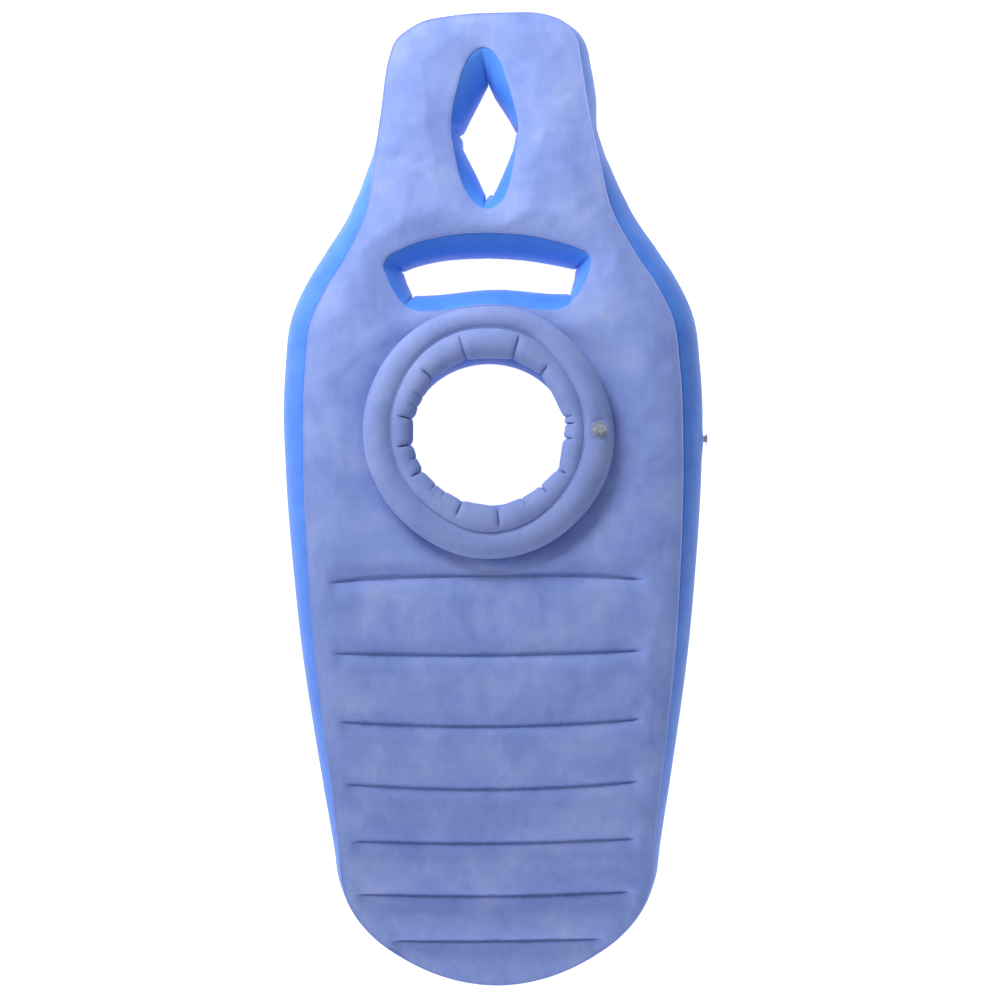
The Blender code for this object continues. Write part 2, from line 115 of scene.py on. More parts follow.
def noise(tree, place, size, detail, roughness=0.5, distortion=0.0):
    """Noise whose clouds are about size metres wide."""
    return add(tree, "ShaderNodeTexNoise", {
        "Vector": place, "Scale": 1 / size, "Detail": detail, "Roughness": roughness,
        "Distortion": distortion}).outputs["Fac"]


def ramp(tree, value, *stops):
    """A colour ramp through its stops, each a position and a hex colour."""
    made = add(tree, "ShaderNodeValToRGB", {"Fac": value})
    elements = made.color_ramp.elements
    for element, (position, code) in zip(elements, (stops[0], stops[-1])):
        element.position = position
        element.color = colour(code)
    for position, code in stops[1:-1]:
        elements.new(position).color = colour(code)
    return made.outputs["Color"]


def spread(tree, value, least, most, **limits):
    """A value spread out between least and most."""
    return add(tree, "ShaderNodeMapRange", {
        "Value": value, "To Min": least, "To Max": most, **limits}).outputs[0]


def object_place(tree):
    return add(tree, "ShaderNodeTexCoord").outputs["Object"]


def new_material(name):
    """An empty material, its node tree and its shader."""
    material = bpy.data.materials.new(name)
    material.use_nodes = True
    tree = material.node_tree
    return material, tree, tree.nodes["Principled BSDF"]


# %% Floor
floor_paint, tree, shader = new_material("studio_sweep_matt_white")
tone = noise(tree, object_place(tree), 1 / 3, 3.0)
feed(tree, shader, {
    "Base Color": ramp(tree, tone, (0, "#B9BBBE"), (1, "#C2C4C6")), "Roughness": 0.9,
    "Emission Color": colour("#FFFFFF"), "Emission Strength": 0.97})
FLOOR_HALF = 14.0
floor_mesh = bpy.data.meshes.new("floor")
corners = [(-1, -1), (1, -1), (1, 1), (-1, 1)]
floor_mesh.from_pydata([(x * FLOOR_HALF, y * FLOOR_HALF, -0.0005) for x, y in corners], [], [(0, 1, 2, 3)])
floor_mesh.materials.append(floor_paint)
floor = placed("floor", floor_mesh)
print("floor:", 2 * FLOOR_HALF, "m square")

# %% Lamps
world = bpy.data.worlds.new("studio")
world.use_nodes = True
world.node_tree.nodes["Background"].inputs["Color"].default_value = colour("#F2F5FF")
world.node_tree.nodes["Background"].inputs["Strength"].default_value = 0.43
bpy.context.scene.world = world


def lamp(name, place, aim, size, power, beam=180):
    """A white area lamp, its beam in degrees."""
    data = bpy.data.lights.new(name, "AREA")
    data.shape = "RECTANGLE"
    data.size, data.size_y = size
    data.energy = power
    data.spread = math.radians(beam)
    made = placed(name, data)
    made.location = place
    made.rotation_euler = (Vector(aim) - Vector(place)).to_track_quat("-Z", "Y").to_euler()


lamp("key_head_left", (-0.85, 1.9, 1.35), (0, 0.75, 0.1), (1.5, 1.1), 13, 72)
lamp("fill_left", (-2.0, 0.1, 0.9), (0, 0, 0.15), (1.2, 1.2), 12)
lamp("fill_foot", (-0.1, -2.4, 0.80), (0, -0.6, 0.15), (1.4, 0.4), 22)
print("lamps: head left, left, foot")

# %% [markdown]
# ## Flocked vinyl
# The top of the bed is PVC sheet with short nylon fibres glued upright into it. That gives a matt,
# velvety periwinkle that pales where it is seen edge on, with cloudy smudges where hands brushed the
# fibres over, and faint streaks along the roll. Noise at three real sizes makes the clouds, the
# streaks and the grain; a sheen makes the pale edge. The fibres are under 1 mm, too fine to show, so
# the grain is drawn at 2 mm.

# %% Flocked vinyl
def flocked(name, dark, middle, light):
    material, tree, shader = new_material(name)
    place = object_place(tree)
    along = add(tree, "ShaderNodeMapping", {"Vector": place, "Scale": (1.0, 0.22, 1.0)}).outputs["Vector"]
    clouds = noise(tree, place, 0.110, 5.0, 0.62, 0.25)
    streaks = noise(tree, along, 0.009, 3.0, 0.6)
    grain = noise(tree, place, 0.002, 2.0, 0.6)
    mixed = spread(tree, clouds, 0.0, 1.0, **{"From Min": 0.30, "From Max": 0.72})
    for layer, share in ((streaks, 0.42), (grain, 0.22)):
        centred = add(tree, "ShaderNodeMath", {0: layer, 1: -0.5}, operation="ADD").outputs[0]
        mixed = add(tree, "ShaderNodeMath", {0: centred, 1: share, 2: mixed},
                    operation="MULTIPLY_ADD").outputs[0]
    bump = add(tree, "ShaderNodeBump", {"Strength": 0.35, "Distance": 0.0006, "Height": grain})
    feed(tree, shader, {
        "Base Color": ramp(tree, mixed, (0, dark), (0.5, middle), (1, light)),
        "Roughness": spread(tree, clouds, 0.88, 1.0), "Normal": bump.outputs["Normal"],
        "IOR": 1.45, "Specular IOR Level": 0.25,
        "Sheen Weight": 0.35, "Sheen Roughness": 0.45, "Sheen Tint": colour("#C9D3FF")})
    return material


FLOCK = flocked("pvc_sheet_nylon_flocked", "#7386C3", "#8194CF", "#92A1D2")
RING_FLOCK = flocked("pvc_sheet_nylon_flocked_ring", "#7183B8", "#7E8EC3", "#8B99C7")
print("flocked vinyl:", FLOCK.name, RING_FLOCK.name)

# %% [markdown]
# ## Smooth vinyl
# The walls and the bottom are calendered PVC: rolled between hot cylinders, so it is a saturated
# cornflower blue with a satin gloss. Under pressure it is taut, with slow waves that bend its soft
# reflections. The noise is a few centimetres wide for the waves, and 3 mm for the faint orange peel.
# The walls of the face hole and chest slot carry a painted glow: a faint blue emission that
# brightens them as painted light, though nothing there is a lamp.

# %% Smooth vinyl
def calendered(name, deep, pale, roughness, glow=0.0):
    material, tree, shader = new_material(name)
    place = object_place(tree)
    waves = noise(tree, place, 0.045, 2.0)
    peel = noise(tree, place, 0.003, 2.0)
    slow = add(tree, "ShaderNodeBump", {"Strength": 0.5, "Distance": 0.0015, "Height": waves})
    fine = add(tree, "ShaderNodeBump", {
        "Strength": 0.2, "Distance": 0.0003, "Height": peel, "Normal": slow.outputs["Normal"]})
    feed(tree, shader, {
        "Base Color": ramp(tree, waves, (0.3, deep), (0.7, pale)),
        "Roughness": spread(tree, peel, roughness - 0.05, roughness + 0.07),
        "Normal": fine.outputs["Normal"], "IOR": 1.53, "Specular IOR Level": 0.14,
        # Emission is painted light: a blue glow of the given strength, none unless asked for.
        "Emission Color": colour("#5D97FF"), "Emission Strength": glow})
    return material


VINYL = calendered("pvc_sheet_calendered", "#4376D4", "#4D81DA", 0.42)
# Painted glow: emission 0.13 brightens the face hole and chest slot walls; no lamp is there.
HOLE_VINYL_PAINTED_GLOW = calendered("pvc_sheet_calendered_painted_glow", "#4479CE", "#4E85D4", 0.42, 0.13)
LIP_VINYL = calendered("pvc_weld_heat_pressed", "#8190CF", "#8B9AD6", 0.6)
STRIP_VINYL = calendered("pvc_strip_plain_cut", "#A9B4D8", "#B7C0E0", 0.48)
print("smooth vinyl:", VINYL.name, HOLE_VINYL_PAINTED_GLOW.name, LIP_VINYL.name, STRIP_VINYL.name)

# %% [markdown]
# ## Clear vinyl
# The valves are injection moulded from clear soft PVC. It is glossy and lets the light through with
# a faint grey-blue body, and tiny flow marks from the mould ripple its surface.

# %% Clear vinyl
CLEAR, tree, shader = new_material("pvc_soft_clear_moulded")
flow = noise(tree, object_place(tree), 0.004, 2.0)
ripple = add(tree, "ShaderNodeBump", {"Strength": 0.3, "Distance": 0.0003, "Height": flow})
feed(tree, shader, {
    "Base Color": ramp(tree, flow, (0, "#C9D3E2"), (1, "#EEF2F8")),
    "Roughness": spread(tree, flow, 0.12, 0.24), "Normal": ripple.outputs["Normal"],
    "IOR": 1.53, "Transmission Weight": 0.70})
print("clear vinyl:", CLEAR.name)

# %% [markdown]
# ## Outlines
# Every sheet and wall follows one of four closed outlines: the rim, the face hole, the chest slot
# and the belly hole. Each is a smooth curve through a few measured points, listed clockwise from the
# head end. Below the head's corners, the rim's left half mirrors its right half.

# %% Outline points, in metres
RIM_TOP = [(-0.165, 0.853), (-0.1425, 0.872), (-0.122, 0.8835), (-0.066, 0.8950), (0.025, 0.900),
           (0.112, 0.8950), (0.1405, 0.8835), (0.1530, 0.872), (0.1675, 0.853)]
RIM_HALF = [   # from the head's right corner to the foot
    (0.178, 0.812),
    (0.192, 0.720), (0.209, 0.627), (0.227, 0.535), (0.269, 0.451), (0.307, 0.392),
    (0.335, 0.333), (0.347, 0.244), (0.3515, 0.060), (0.344, -0.142), (0.334, -0.285),
    (0.317, -0.438), (0.305, -0.533), (0.292, -0.651), (0.286, -0.714), (0.269, -0.760),
    (0.232, -0.807), (0.168, -0.853), (0.085, -0.888), (0.000, -0.900),
]
FACE_EDGE = [
    (-0.0075, 0.8380), (0.0080, 0.8340), (0.0200, 0.8235), (0.0300, 0.8080), (0.0411, 0.7767),
    (0.0526, 0.7358), (0.0605, 0.6986), (0.0595, 0.6754), (0.0522, 0.6360), (0.0431, 0.5968),
    (0.0322, 0.5655), (0.0160, 0.5440), (-0.0043, 0.5378), (-0.0230, 0.5455), (-0.0410, 0.5680),
    (-0.0515, 0.5976), (-0.0612, 0.6515), (-0.0648, 0.6859), (-0.0615, 0.7220), (-0.0530, 0.7590),
    (-0.0400, 0.8000), (-0.0270, 0.8250),
]
SLOT_EDGE = [
    (-0.0038, 0.4940), (0.0510, 0.4905), (0.1165, 0.4783), (0.1601, 0.4645), (0.1800, 0.4540),
    (0.1848, 0.4428), (0.1817, 0.4245), (0.1733, 0.4026), (0.1584, 0.3771), (0.1399, 0.3571),
    (0.1141, 0.3495), (0.0775, 0.3512), (0.0336, 0.3585), (-0.0104, 0.3605), (-0.0545, 0.3565),
    (-0.0985, 0.3502), (-0.1279, 0.3492), (-0.1510, 0.3535), (-0.1680, 0.3660), (-0.1825, 0.3876),
    (-0.1945, 0.4134), (-0.2005, 0.4360), (-0.1942, 0.4490), (-0.1588, 0.4690), (-0.0958, 0.4870),
]
SIDE_BULGE = [
    (-0.90, 0.010), (-0.73, 0.013), (-0.54, 0.024), (-0.16, 0.036), (0.15, 0.046),
    (0.45, 0.048), (0.55, 0.038), (0.64, 0.016), (0.70, 0.009), (0.90, 0.010),
]
BELLY_CENTRE = np.array([-0.008, 0.122])
BELLY_RADIUS = 0.165


# %% Smooth closed curves
def closed_curve(knots, count):
    """count evenly spaced points on a smooth closed curve through the knots."""
    knots = np.array(knots, float)
    chord = np.roll(knots, -1, axis=0) - knots
    length = np.linalg.norm(chord, axis=1, keepdims=True)
    slope = chord / length
    before, slope_before = np.roll(length, 1, axis=0), np.roll(slope, 1, axis=0)
    tangent = (slope * before + slope_before * length) / (length + before)
    t = np.linspace(0, 1, 40, endpoint=False)[:, None]
    pieces = []
    for i in range(len(knots)):
        j = (i + 1) % len(knots)
        pieces.append((2 * t**3 - 3 * t**2 + 1) * knots[i] + (t**3 - 2 * t**2 + t) * tangent[i] * length[i]
                      + (3 * t**2 - 2 * t**3) * knots[j] + (t**3 - t**2) * tangent[j] * length[i])
    return even(np.concatenate(pieces), count)


def even(loop, count):
    """The closed loop again, with count points at equal steps."""
    closed = np.vstack([loop, loop[:1]])
    travelled = np.concatenate([[0], np.cumsum(np.linalg.norm(np.diff(closed, axis=0), axis=1))])
    at = np.linspace(0, travelled[-1], count, endpoint=False)
    return np.column_stack([np.interp(at, travelled, closed[:, k]) for k in range(closed.shape[1])])


def both_halves(half):
    return half + [(-x, y) for x, y in half[-2::-1]]


def circle(centre, radius, count):
    angle = math.pi / 2 - 2 * math.pi * np.arange(count) / count
    return np.column_stack([np.cos(angle), np.sin(angle)]) * radius + centre


def outward(loop):
    """Unit normals that point out of a clockwise loop."""
    along = np.roll(loop, -1, axis=0) - np.roll(loop, 1, axis=0)
    normal = np.column_stack([-along[:, 1], along[:, 0]])
    return normal / np.linalg.norm(normal, axis=1, keepdims=True)


RIM = closed_curve(RIM_TOP + both_halves(RIM_HALF), 480)
FACE = closed_curve(FACE_EDGE, 330)
SLOT = closed_curve(SLOT_EDGE, 420)
BELLY = circle(BELLY_CENTRE, BELLY_RADIUS, 144)
print("outline lengths, m:", [round(float(np.linalg.norm(np.roll(l, -1, 0) - l, axis=1).sum()), 3)
                              for l in (RIM, FACE, SLOT, BELLY)])


# %% Distances and lean
def distance_to(points, loop):
    """How far each point lies from the closed loop."""
    far = np.empty(len(points))
    starts, along = loop, np.roll(loop, -1, axis=0) - loop
    squared = (along**2).sum(1)
    for first in range(0, len(points), 2000):
        to = points[first:first + 2000, None, :] - starts[None]
        share = np.clip((to * along).sum(2) / squared, 0, 1)
        apart = share[:, :, None] * along - to
        far[first:first + 2000] = np.sqrt((apart**2).sum(2).min(axis=1))
    return far


def inside(points, loop):
    """Whether each point lies inside the loop."""
    ends = np.roll(loop, -1, axis=0)
    x, y = points[:, :1], points[:, 1:]
    spans = (loop[:, 1] > y) != (ends[:, 1] > y)
    rise = np.where(ends[:, 1] == loop[:, 1], 1, ends[:, 1] - loop[:, 1])
    crosses = x < (ends[:, 0] - loop[:, 0]) / rise * (y - loop[:, 1]) + loop[:, 0]
    return (spans & crosses).sum(axis=1) % 2 == 1


def smooth(t):
    t = np.clip(t, 0, 1)
    return t * t * (3 - 2 * t)


def leaned(points):
    """The head end, pushed over to the left at the top, as the air has set it."""
    points = np.array(points, float)
    share = smooth((points[:, 1] - 0.40) / 0.35) * (1 - 0.6 * smooth((points[:, 1] - 0.80) / 0.10))
    points[:, 0] += share * np.interp(points[:, 2], [0, 0.1, 0.203], [0.004, -0.003, -0.010])
    return points


# %% Pieces from points
def piece(name, points, faces, material, slot_name, *nodes, body="root", thickness=0.0, lean=True):
    """A smooth mesh that rides on a body and stands for the named nodes."""
    points = leaned(points) if lean else np.array(points, float)
    mesh = bpy.data.meshes.new(name)
    mesh.from_pydata(points.tolist(), [], faces)
    mesh.materials.append(material)
    mesh.shade_smooth()
    made = placed(name, mesh)
    if thickness:
        skin = made.modifiers.new("sheet thickness", "SOLIDIFY")
        skin.thickness, skin.offset = thickness, -1
    if body:
        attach(made, body)
    if nodes:
        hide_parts(*nodes)
    print(name + ":", len(mesh.vertices), "points,", len(mesh.polygons), "faces")
    return made


def faces_outward(mesh):
    bm = bmesh.new()
    bm.from_mesh(mesh)
    bmesh.ops.recalc_face_normals(bm, faces=bm.faces)
    bm.to_mesh(mesh)
    bm.free()


def band(rows, flip=False):
    """Points and faces of a band of closed rows, all with the same number of points."""
    count = len(rows[0])
    faces = []
    for r in range(len(rows) - 1):
        for i in range(count):
            j = (i + 1) % count
            face = (r * count + i, r * count + j, (r + 1) * count + j, (r + 1) * count + i)
            faces.append(face[::-1] if flip else face)
    return np.concatenate(rows), faces


SKIN = 0.0005

# %% [markdown]
# ## The top sheet
# The top is one flocked sheet, held down at its rim, at the holes and along seven welds, and swollen
# everywhere else. A height rule alone gives the broad shape. A flat triangulation carries it, with
# close rows of points along each weld, where the sheet turns sharply.

# %% Heights
CROWN, SEAT, CREASE = 0.2035, 0.1925, 0.1865
RIM_RAMP, HOLE_RAMP, FLOOR_RAMP = 0.075, 0.050, 0.060
FLAT_UNDER_RING = 0.228   # how far from the belly hole's middle the sheet lies flat under the ring
WELDS = [   # distance to head, left end, right end, bow of the middle towards the head
    (-0.148, -0.2987, 0.2680, 0.009), (-0.288, -0.2929, 0.2643, -0.007),
    (-0.418, -0.2848, 0.2630, -0.012), (-0.534, -0.2739, 0.2596, -0.013),
    (-0.637, -0.2632, 0.2515, -0.0075), (-0.735, -0.2523, 0.2412, -0.0065),
    (-0.820, -0.1893, 0.1862, -0.003),
]
ACROSS, PAST_END = 0.036, 0.030


def rise(distance, ramp):
    return 1 - (1 - np.clip(distance / ramp, 0, 1)) ** 2


def side_bulge(y):
    ys, bulges = zip(*SIDE_BULGE)
    return np.interp(y, ys, bulges)


def rim_height(y):
    return CROWN - 0.003 - 0.011 * side_bulge(y) / 0.048


def rim_floor(y):
    return 0.014 * side_bulge(y) / 0.048


def weld_row(x, weld):
    y, left, right, bow = weld
    return y + bow * (0.5 - ((2 * x - left - right) / (right - left)) ** 2)


def past_end(x, weld):
    """How far x lies past the weld's nearer end, negative along the weld."""
    return np.maximum(weld[1] - x, x - weld[2])


def crease(points):
    """How deep each point is drawn into the nearest weld: 1 on it, 0 away from it."""
    drawn = np.zeros(len(points))
    for weld in WELDS:
        away = np.abs(points[:, 1] - weld_row(points[:, 0], weld))
        past = np.clip(1 - (past_end(points[:, 0], weld) + 0.012) / PAST_END, 0, 1)
        broad = np.clip(1 - away / ACROSS, 0, 1) ** 2
        sharp = np.exp(-(away / 0.0022) ** 2)
        drawn = np.maximum(drawn, (0.88 * broad + 0.12 * sharp) * smooth(past))
    return drawn


def top_height(points):
    height = rim_height(points[:, 1])
    height = height + (CROWN - height) * rise(distance_to(points, RIM), RIM_RAMP)
    for hole in (FACE, SLOT, BELLY):
        height = SEAT + (height - SEAT) * rise(distance_to(points, hole), HOLE_RAMP)
    from_ring = np.linalg.norm(points - BELLY_CENTRE, axis=1) - FLAT_UNDER_RING
    height = SEAT + (height - SEAT) * rise(from_ring, HOLE_RAMP)
    return height + (CREASE - height) * crease(points)


# %% Sheet points
def sheet_points(step, loops, rows):
    """Loose points over the bed, closer together along the welds and the edges."""
    y = np.arange(-0.896, 0.9, step * 0.866)
    x = np.arange(-0.36, 0.36, step)
    grid = np.array([(a + (step / 2 if k % 2 else 0), b) for k, b in enumerate(y) for a in x])
    for weld in rows:
        near = np.abs(grid[:, 1] - weld_row(grid[:, 0], weld)) < 0.0145
        grid = grid[~(near & (past_end(grid[:, 0], weld) < PAST_END))]
        along = np.arange(weld[1] - PAST_END, weld[2] + PAST_END, 0.006)
        for off in (-12, -8.5, -5.5, -3.2, -1.5, 0, 1.5, 3.2, 5.5, 8.5, 12):
            grid = np.vstack([grid, np.column_stack([along, weld_row(along, weld) + off * MM])])
    grid = grid[inside(grid, RIM)]
    rings = []
    for loop in loops:
        grid = grid[distance_to(grid, loop) > 0.0065 + step * 0.4]
        side = -1 if loop is RIM else 1
        rings += [loop + outward(loop) * side * off for off in (0.0028, 0.0065)]
    return np.vstack([grid] + rings)


def sheet_mesh(step, height, rows):
    """Points and faces of a sheet inside the rim, open at the holes."""
    loops = [RIM, FACE, SLOT, BELLY]
    loose = sheet_points(step, loops, rows)
    for hole in loops[1:]:
        loose = loose[~inside(loose, hole)]
    flat, edges = [], []
    for loop in loops:
        first = len(flat)
        flat += list(loop)
        edges += [(first + i, first + (i + 1) % len(loop)) for i in range(len(loop))]
    flat += list(loose)
    corners, _, faces, *_ = delaunay_2d_cdt([Vector(p) for p in flat], edges, [], 0, 1e-5)
    corners = np.array([tuple(c) for c in corners])
    middles = np.array([corners[list(face)].mean(axis=0) for face in faces])
    keep = inside(middles, RIM)
    for hole in loops[1:]:
        keep &= ~inside(middles, hole)
    faces = [face for face, kept in zip(faces, keep) if kept]
    used = np.unique([i for face in faces for i in face])
    number = {int(old): new for new, old in enumerate(used)}
    corners = corners[used]
    faces = [tuple(number[i] for i in face) for face in faces]
    return np.column_stack([corners, height(corners)]), faces


points, faces = sheet_mesh(0.008, top_height, WELDS)
top_sheet = piece("top_sheet_flocked", points, faces, FLOCK, "flocked_vinyl", "top_sheet", thickness=SKIN)


# %% Air in the top sheet
SIM_FRAMES, MOST_MOVE = 12, 0.0020


def air_settled(made, held_still):
    """Lets air press the sheet between its welds, so that it puckers by itself, then applies it."""
    flat = made.data
    before = np.array([v.co[:] for v in flat.vertices])
    welded = made.vertex_groups.new(name="welded")
    welded.add([int(i) for i in np.nonzero(held_still)[0]], 1.0, "REPLACE")
    skin = made.modifiers[0]
    skin.show_viewport = False
    cloth = made.modifiers.new("air", "CLOTH")
    made.modifiers.move(1, 0)
    cloth.settings.quality = 4
    cloth.settings.mass = 0.25
    cloth.settings.tension_stiffness = cloth.settings.compression_stiffness = 20
    cloth.settings.shear_stiffness = 10
    cloth.settings.bending_stiffness = 1.5
    cloth.settings.use_pressure = True
    cloth.settings.uniform_pressure_force = 0.05
    cloth.settings.shrink_min = -0.003
    cloth.settings.vertex_group_mass = "welded"
    cloth.settings.effector_weights.gravity = 0
    cloth.point_cache.frame_end = SIM_FRAMES
    scene = bpy.context.scene
    for number in range(1, SIM_FRAMES + 1):
        scene.frame_set(number)
    ready = made.evaluated_get(bpy.context.evaluated_depsgraph_get())
    after = np.array([v.co[:] for v in ready.data.vertices])
    made.modifiers.remove(cloth)
    skin.show_viewport = True
    scene.frame_set(1)
    moved = after - before
    size = np.linalg.norm(moved, axis=1, keepdims=True)
    moved *= np.minimum(1, MOST_MOVE / np.maximum(size, 1e-9))
    flat.vertices.foreach_set("co", (before + moved).ravel())
    flat.update()
    print("air moved the sheet by up to", round(float(size.max()) / MM, 1), "mm, kept to", MOST_MOVE / MM)


plan = points[:, :2]
still = crease(points) > 0.93
for loop in (RIM, FACE, SLOT, BELLY):
    still |= distance_to(plan, loop) < 0.008
still |= np.linalg.norm(plan - BELLY_CENTRE, axis=1) < FLAT_UNDER_RING - 0.002
air_settled(top_sheet, still)

# %% [markdown]
# ## The bottom sheet
# It mirrors the top: smooth vinyl that lies on the floor and is drawn up a little at the rim, at the
# holes and along the welds.


# %% Bottom sheet
def floor_height(points):
    height = rim_floor(points[:, 1]) * (1 - rise(distance_to(points, RIM), FLOOR_RAMP))
    for hole in (FACE, SLOT, BELLY):
        height = 0.008 + (height - 0.008) * rise(distance_to(points, hole), FLOOR_RAMP)
    return height + (0.006 - height) * crease(points)


points, faces = sheet_mesh(0.016, floor_height, WELDS)
faces = [face[::-1] for face in faces]
bottom_sheet = piece("bottom_sheet_smooth", points, faces, VINYL, "smooth_vinyl", "bottom_sheet",
                     thickness=SKIN)

# %% [markdown]
# ## The walls
# Air pushes each wall out between its two welds into an arc, so a wall is a stack of outlines that
# step out and back. Where an outline turns a corner the wall can't stretch, and it folds in a valley.


# %% Arc of a wall
def arc(v, bulge, height):
    """Share of the bulge at v, from 0 at the lower weld to 1 at the upper one."""
    radius = (height**2 / 4 + bulge**2) / (2 * bulge)
    return (np.sqrt(np.maximum(radius**2 - ((v - 0.5) * height) ** 2, 0)) - (radius - bulge)) / bulge


ROWS = 28
LIP = 0.0022


# %% [markdown]
# ## Where the valves sit
# A flange can only be welded to a level skin, so the skin is drawn level under each valve. The frame
# gives each valve's place: its axis is the plug's, and its strap points along its own -X.

# %% Places of the valves
BASE_TOP = 0.0020   # how far the base stands above the skin


def valve_place(prefix):
    """The valve's origin and its X, Y and Z, read from the frame."""
    joint = next(j for j in frame["record"]["behaviour"]["joints"] if j["name"] == prefix + "_plug_pull")
    axis = np.array(joint["axis"], float)
    axis /= np.linalg.norm(axis)
    corners = np.array([v.co[:] for v in frame["nodes"][prefix + "_valve_base"].data.vertices])
    up = corners @ axis
    face = corners[up > up.max() - 0.0001]
    origin = (face.min(axis=0) + face.max(axis=0)) / 2 - axis * BASE_TOP
    strap = np.array([v.co[:] for v in frame["nodes"][prefix + "_valve_strap"].data.vertices])
    x = origin - strap.mean(axis=0)
    x -= axis * (x @ axis)
    x /= np.linalg.norm(x)
    return origin, np.array([x, np.cross(axis, x), axis])


def flat_for_valve(points, prefix, level_to, fade_to):
    """Points of a skin, drawn level under the valve's flange and fading back to their own shape."""
    origin, axes = valve_place(prefix)
    local = (points - origin) @ axes.T
    away = np.hypot(local[:, 0], local[:, 1])
    share = (1 - smooth((away - level_to) / (fade_to - level_to))) * (local[:, 2] > -0.05)
    local[:, 2] -= (local[:, 2] + 0.0002) * share
    return origin + local @ axes


# %% Side wall
rim_in = RIM - outward(RIM) * LIP
y = rim_in[:, 1]
at_head_right = (rim_in[:, 0] > 0) * smooth((y - 0.68) / 0.08) * (1 - smooth((y - 0.86) / 0.04))
bulge = side_bulge(y) + 0.009 * at_head_right
low, high = rim_floor(y) + SKIN, rim_height(y)
rows = []
for v in np.linspace(0, 1, ROWS + 1):
    plan = rim_in + outward(RIM) * (bulge * arc(v, bulge, high - low))[:, None]
    rows.append(np.column_stack([plan, low + (high - low) * v]))
points, faces = band(rows)
points = flat_for_valve(points, "main", 0.022, 0.045)
side_wall = piece("side_wall_smooth", points, faces, VINYL, "smooth_vinyl", "side_wall", thickness=SKIN)


# %% Hole walls
def by_folds(loop, folds, corners):
    """For each loop point, the matching point of the polygon that the wall's middle takes up.

    folds are the loop's points where the wall folds, and corners the polygon between them, each a
    list of points from one fold to the next."""
    at = [int(np.argmin(np.linalg.norm(loop - np.array(fold), axis=1))) for fold in folds]
    target = np.zeros_like(loop)
    count = len(loop)
    for k, start in enumerate(at):
        end = at[(k + 1) % len(at)]
        steps = (end - start) % count
        side = np.array(corners[k], float)
        travelled = np.concatenate([[0], np.cumsum(np.linalg.norm(np.diff(side, axis=0), axis=1))])
        for n in range(steps + 1):
            share = n / steps * travelled[-1]
            i = (start + n) % count
            target[i] = [np.interp(share, travelled, side[:, c]) for c in (0, 1)]
    return target


def valleys(loop, folds):
    """How far each column is drawn back into a fold: folds are (point, depth, width)."""
    depth = np.zeros(len(loop))
    step = np.linalg.norm(loop[1] - loop[0])
    for point, deepest, width in folds:
        at = int(np.argmin(np.linalg.norm(loop - np.array(point), axis=1)))
        steps = np.abs((np.arange(len(loop)) - at + len(loop) // 2) % len(loop) - len(loop) // 2)
        depth = np.maximum(depth, deepest * np.exp(-(steps * step / width) ** 2))
    return depth


def hole_wall(name, node, loop, target, groove, high, low=0.0085, material=HOLE_VINYL_PAINTED_GLOW):
    """A wall whose middle takes up the target outline, drawn back by the groove at its folds."""
    out = outward(loop)
    edge = loop + out * LIP
    reach = np.linalg.norm(target - edge, axis=1)
    height = high - low
    rows = []
    for v in np.linspace(0, 1, ROWS + 1):
        share = arc(v, np.maximum(reach, 0.006), height)
        plan = edge + (target - edge) * share[:, None] + out * (groove * np.sin(math.pi * v))[:, None]
        rows.append(np.column_stack([plan, np.full(len(loop), low + height * v)]))
    points, faces = band(rows, flip=True)
    return piece(name, points, faces, material, "smooth_vinyl", node, thickness=SKIN)


# %% Face hole wall
FACE_FOLDS = [(-0.0075, 0.838), (0.0605, 0.690), (-0.0043, 0.5378), (-0.0645, 0.694)]
FACE_GAP = [   # from each fold to the next, clockwise
    [(0.000, 0.785), (0.0135, 0.756), (0.0250, 0.738), (0.0395, 0.7154), (0.0537, 0.688)],
    [(0.0537, 0.688), (0.0460, 0.657), (0.0271, 0.6144), (0.0100, 0.5790), (-0.0010, 0.5720)],
    [(-0.0010, 0.5720), (-0.0080, 0.5710), (-0.0253, 0.6112), (-0.0500, 0.6620), (-0.0505, 0.6880)],
    [(-0.0505, 0.6880), (-0.0384, 0.7124), (-0.0193, 0.7477), (0.000, 0.785)],
]
groove = valleys(FACE, [((-0.0075, 0.838), 0.014, 0.0032), ((0.0605, 0.692), 0.007, 0.0060),
                        ((-0.0100, 0.539), 0.012, 0.0028), ((0.0060, 0.539), 0.005, 0.0026),
                        ((-0.0645, 0.694), 0.013, 0.0070)])
target = by_folds(FACE, FACE_FOLDS, FACE_GAP)
face_wall = hole_wall("face_hole_wall_smooth", "face_hole_wall", FACE, target, groove, SEAT)

# %% Chest slot wall
SLOT_FOLDS = [(0.1848, 0.4480), (0.1399, 0.3571), (-0.1600, 0.3590), (-0.2005, 0.4400)]
SLOT_GAP = [
    [(0.1590, 0.4328), (0.1569, 0.4149), (0.1483, 0.3850)],
    [(0.1483, 0.3850), (0.1053, 0.3865), (0.0760, 0.3895), (0.0492, 0.3925), (0.0231, 0.3948),
     (-0.0069, 0.3947), (-0.0300, 0.3932), (-0.0556, 0.3905), (-0.1005, 0.3858), (-0.1499, 0.3841)],
    [(-0.1499, 0.3841), (-0.1602, 0.4066), (-0.1681, 0.4310)],
    [(-0.1681, 0.4310), (-0.1480, 0.4390), (-0.1260, 0.4452), (-0.1020, 0.4500), (-0.0772, 0.4534),
     (-0.0420, 0.4552), (-0.0061, 0.4557), (0.0280, 0.4542), (0.0612, 0.4513), (0.0860, 0.4477),
     (0.1097, 0.4434), (0.1350, 0.4383), (0.1590, 0.4328)],
]
